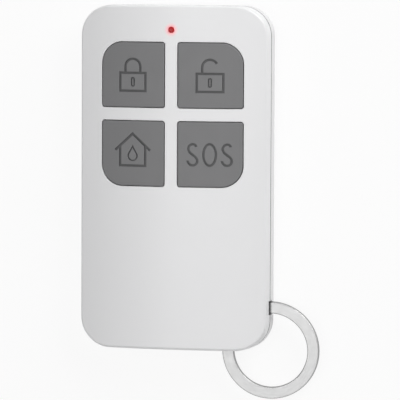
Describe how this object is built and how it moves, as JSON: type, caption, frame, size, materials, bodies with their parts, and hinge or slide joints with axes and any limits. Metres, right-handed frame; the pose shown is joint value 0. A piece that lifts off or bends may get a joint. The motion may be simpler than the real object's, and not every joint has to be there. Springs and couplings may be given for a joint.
{
  "type": "alarm key fob",
  "caption": "Slim white hand-held radio remote for a house alarm: grey thumb keys in a crowned face, a red signal light and a flat key ring at one corner.",
  "frame": {"origin": "middle of the case on the rear cover's flat outer face", "axes": "+Z out of the face with the keys, +Y from the key ring's end to the signal light's end, +X to the right seen from the face"},
  "size_m": [0.0496, 0.08, 0.0089],
  "materials": {
    "white_case": "moulded satin white ABS",
    "key_grey": "moulded satin grey plastic",
    "ring_metal": "satin nickel plate",
    "red_window": "clear red acrylic",
    "board": "green solder mask",
    "switch_black": "moulded nylon",
    "steel": "plain stainless sheet",
    "cell_steel": "nickel-plated steel",
    "gasket": "moulded seal",
    "contact_metal": "nickel-plated spring strip",
    "chip_black": "moulded epoxy",
    "copper": "tinned copper track",
    "ceramic": "fired ceramic",
    "diode": "clear epoxy"
  },
  "bodies": {
    "case": {"front_cover": "white_case", "rear_cover": "white_case", "circuit_board": "board", "coin_cell_can": "cell_steel", "coin_cell_cap": "cell_steel", "coin_cell_gasket": "gasket", "positive_contact": "contact_metal", "negative_contact": "contact_metal", "controller_chip": "chip_black", "transmitter_chip": "chip_black", "crystal": "steel", "aerial": "copper", "board_passives": "ceramic", "signal_diode": "diode", "signal_window": "red_window", "case_screws": "steel", "arm_switch_base": "switch_black", "arm_switch_plate": "steel", "disarm_switch_base": "switch_black", "disarm_switch_plate": "steel", "home_switch_base": "switch_black", "home_switch_plate": "steel", "sos_switch_base": "switch_black", "sos_switch_plate": "steel"},
    "arm_button": {"arm_key": "key_grey", "arm_switch_plunger": "switch_black"},
    "disarm_button": {"disarm_key": "key_grey", "disarm_switch_plunger": "switch_black"},
    "home_button": {"home_key": "key_grey", "home_switch_plunger": "switch_black"},
    "sos_button": {"sos_key": "key_grey", "sos_switch_plunger": "switch_black"},
    "ring": {"key_ring": "ring_metal"},
    "door": {"battery_door": "white_case"}
  },
  "joints": [
    {"name": "arm_press", "type": "slide", "parent": "case", "child": "arm_button", "axis": [0, 0, -1], "range_m": [0, 0.00025], "stiffness_N_per_m": 1000, "springref_m": -0.0005},
    {"name": "disarm_press", "type": "slide", "parent": "case", "child": "disarm_button", "axis": [0, 0, -1], "range_m": [0, 0.00025], "stiffness_N_per_m": 1000, "springref_m": -0.0005},
    {"name": "home_press", "type": "slide", "parent": "case", "child": "home_button", "axis": [0, 0, -1], "range_m": [0, 0.00025], "stiffness_N_per_m": 1000, "springref_m": -0.0005},
    {"name": "sos_press", "type": "slide", "parent": "case", "child": "sos_button", "axis": [0, 0, -1], "range_m": [0, 0.00025], "stiffness_N_per_m": 1000, "springref_m": -0.0005},
    {"name": "ring_tilt", "type": "hinge", "parent": "case", "child": "ring", "pos_m": [0.0198, -0.0262, 0.0036], "axis": [-0.7071, -0.7071, 0], "range_deg": [0, 12]},
    {"name": "door_turn", "type": "hinge", "parent": "case", "child": "door", "pos_m": [0, -0.015, 0], "axis": [0, 0, 1], "range_deg": [0, 40]}
  ]
}
